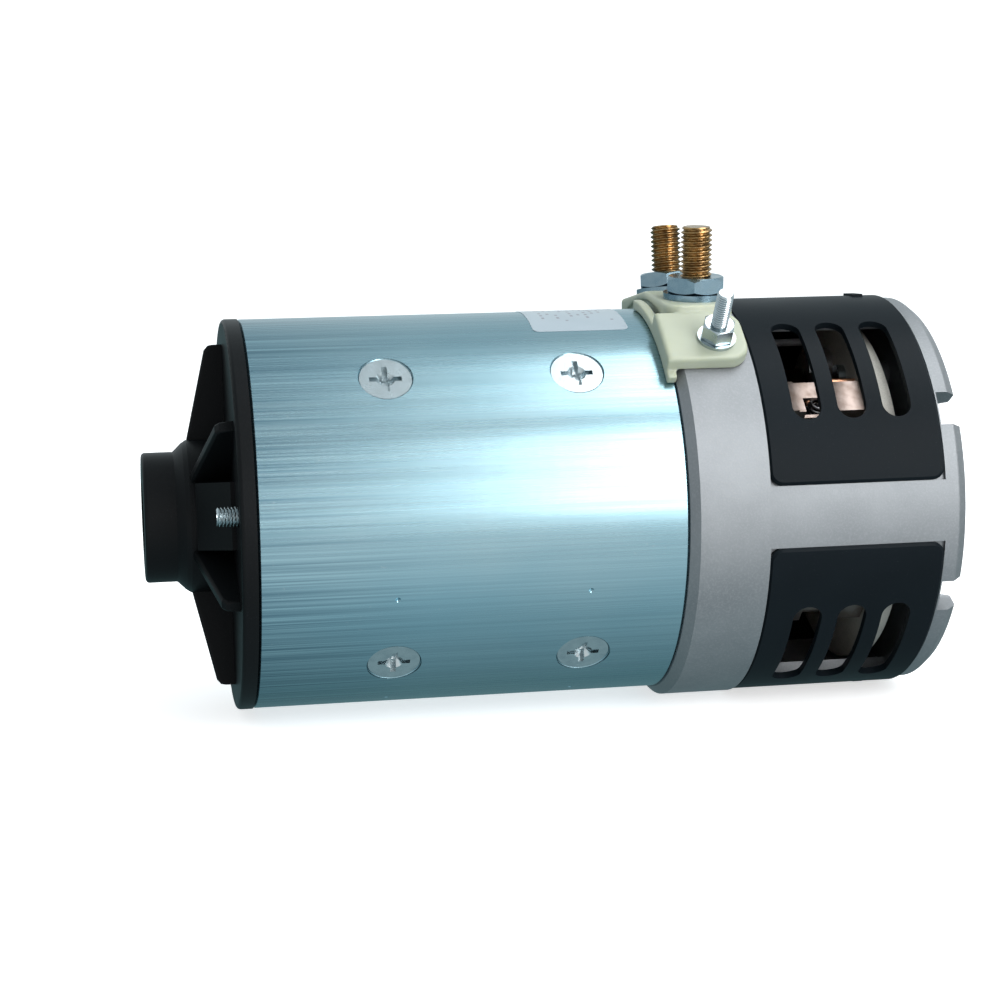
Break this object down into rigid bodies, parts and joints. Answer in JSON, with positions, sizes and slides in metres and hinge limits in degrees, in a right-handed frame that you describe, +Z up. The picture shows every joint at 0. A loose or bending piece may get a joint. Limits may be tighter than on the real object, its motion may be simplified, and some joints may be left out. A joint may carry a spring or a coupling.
{
  "type": "electric motor",
  "caption": "Direct-current pump motor: plated tube yoke, ribbed drive end, vented commutator end, terminal block on top.",
  "frame": {"origin": "on the motor axis at the front face of the drive end shield's flange", "axes": "+X along the motor axis towards the commutator end, +Z up through the terminals"},
  "size_m": [0.2432, 0.1256, 0.1491],
  "materials": {
    "zinc_blue": "drawn steel tube, blue-passivated zinc, fine streaks along the axis",
    "black_paint": "satin black paint",
    "cast_aluminium": "shot-blasted die casting, matt light grey",
    "nylon": "natural nylon, slightly translucent",
    "bronze": "threaded bronze, tarnished brown",
    "zinc_steel": "bright zinc plate",
    "lamination": "stamped electrical steel, dull",
    "taped_coil": "copper strap wound in varnished glass tape",
    "enamelled_copper": "enamelled copper under varnish",
    "copper": "bare copper",
    "insulation": "moulded glass-filled insulation",
    "rubber": "nitrile rubber",
    "bearing_steel": "ground and polished steel",
    "shaft_steel": "ground steel",
    "brass": "stamped brass, tinned",
    "carbon": "pressed carbon and copper",
    "switch_case": "drawn can and insulated lead",
    "label": "printed polyester film"
  },
  "bodies": {
    "frame": {"yoke_tube": "zinc_blue", "drive_end_shield": "black_paint", "vent_cover_upper": "black_paint", "vent_cover_lower": "black_paint", "commutator_end_housing": "cast_aluminium", "terminal_block": "nylon", "terminal_studs": "bronze", "terminal_nuts": "zinc_steel", "terminal_washers": "zinc_steel", "sensor_stud": "zinc_steel", "sensor_nut": "zinc_steel", "sensor_washer": "zinc_steel", "pole_screws": "zinc_steel", "through_bolts": "zinc_steel", "bolt_washers": "zinc_steel", "brush_plate_screws": "zinc_steel", "pole_shoes": "lamination", "field_coils": "taped_coil", "field_connectors": "copper", "brush_lead_1": "copper", "brush_lead_2": "copper", "brush_lead_3": "copper", "brush_lead_4": "copper", "brush_plate": "insulation", "shaft_seal": "rubber", "shield_seal_ring": "rubber", "drive_bearing_outer_ring": "bearing_steel", "rear_bearing_outer_ring": "bearing_steel", "bearing_retaining_ring": "bearing_steel", "wave_washer": "bearing_steel", "brush_spring_1": "bearing_steel", "brush_spring_2": "bearing_steel", "brush_spring_3": "bearing_steel", "brush_spring_4": "bearing_steel", "brush_holders": "brass", "thermal_switch": "switch_case", "thermal_switch_lead": "switch_case", "rating_label": "label"},
    "armature": {"armature_shaft": "shaft_steel", "armature_core": "lamination", "armature_windings": "enamelled_copper", "commutator_hub": "insulation", "commutator_segments": "copper", "drive_bearing_inner_ring": "bearing_steel", "rear_bearing_inner_ring": "bearing_steel"},
    "drive_bearing_cage_body": {"drive_bearing_balls": "bearing_steel", "drive_bearing_cage": "bearing_steel"},
    "rear_bearing_cage_body": {"rear_bearing_balls": "bearing_steel", "rear_bearing_cage": "bearing_steel"},
    "brush_1_body": {"brush_1": "carbon"},
    "brush_2_body": {"brush_2": "carbon"},
    "brush_3_body": {"brush_3": "carbon"},
    "brush_4_body": {"brush_4": "carbon"}
  },
  "joints": [
    {"name": "armature_spin", "type": "hinge", "parent": "frame", "child": "armature", "pos_m": [0.07, 0, 0], "axis": [1, 0, 0], "continuous": true},
    {"name": "drive_cage_spin", "type": "hinge", "parent": "frame", "child": "drive_bearing_cage_body", "pos_m": [-0.0055, 0, 0], "axis": [1, 0, 0], "continuous": true},
    {"name": "rear_cage_spin", "type": "hinge", "parent": "frame", "child": "rear_bearing_cage_body", "pos_m": [0.203, 0, 0], "axis": [1, 0, 0], "continuous": true},
    {"name": "brush_1_slide", "type": "slide", "parent": "frame", "child": "brush_1_body", "axis": [0, -0.7071, 0.7071], "range_m": [0, 0.005], "stiffness_N_per_m": 400, "springref_m": -0.01, "deforming": ["brush_spring_1", "brush_lead_1"]},
    {"name": "brush_2_slide", "type": "slide", "parent": "frame", "child": "brush_2_body", "axis": [0, -0.7071, -0.7071], "range_m": [0, 0.005], "stiffness_N_per_m": 400, "springref_m": -0.01, "deforming": ["brush_spring_2", "brush_lead_2"]},
    {"name": "brush_3_slide", "type": "slide", "parent": "frame", "child": "brush_3_body", "axis": [0, 0.7071, -0.7071], "range_m": [0, 0.005], "stiffness_N_per_m": 400, "springref_m": -0.01, "deforming": ["brush_spring_3", "brush_lead_3"]},
    {"name": "brush_4_slide", "type": "slide", "parent": "frame", "child": "brush_4_body", "axis": [0, 0.7071, 0.7071], "range_m": [0, 0.005], "stiffness_N_per_m": 400, "springref_m": -0.01, "deforming": ["brush_spring_4", "brush_lead_4"]}
  ],
  "couplings": [
    {"joint": "drive_cage_spin", "follows": "armature_spin", "ratio": 0.38},
    {"joint": "rear_cage_spin", "follows": "armature_spin", "ratio": 0.364}
  ]
}
